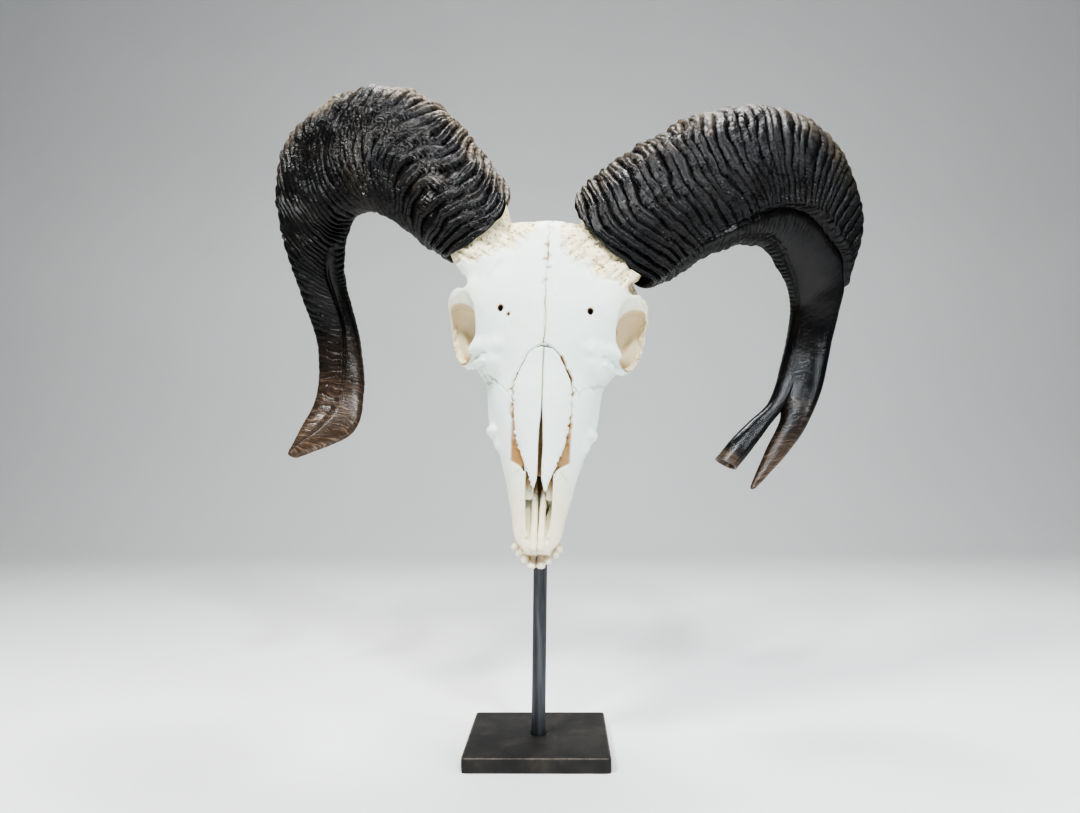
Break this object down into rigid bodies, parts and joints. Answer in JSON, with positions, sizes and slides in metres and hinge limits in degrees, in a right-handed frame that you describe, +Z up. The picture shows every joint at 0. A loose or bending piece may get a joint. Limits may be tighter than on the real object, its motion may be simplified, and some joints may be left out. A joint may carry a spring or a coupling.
{
  "type": "ram skull on stand",
  "caption": "Life-size ram skull with long curved ribbed horns, hung nose down on a slim steel rod that stands in a square steel plate.",
  "frame": {"origin": "middle of the plate's underside, on the floor", "axes": "+Z up; the forehead faces -Y; +X is the ram's left, the right side as one faces the forehead"},
  "size_m": [0.465, 0.1741, 0.4818],
  "materials": {
    "bone": "bleached bone, matt, cream in the pits and seams",
    "jaw_bone": "bleached bone with cream teeth, matt",
    "horn": "near-black horn with ribs, half gloss, brown at the tips",
    "rod_steel": "dark satin steel rod",
    "plate_steel": "matt black coat, worn at the edges"
  },
  "bodies": {
    "root": {"cranium": "bone", "upper_jaw": "bone", "nasal_left": "bone", "nasal_right": "bone", "incisive_left": "bone", "incisive_right": "bone", "mandible_left": "jaw_bone", "mandible_right": "jaw_bone", "horn_left": "horn", "horn_right": "horn", "stand_rod": "rod_steel", "stand_base": "plate_steel"}
  },
  "joints": []
}
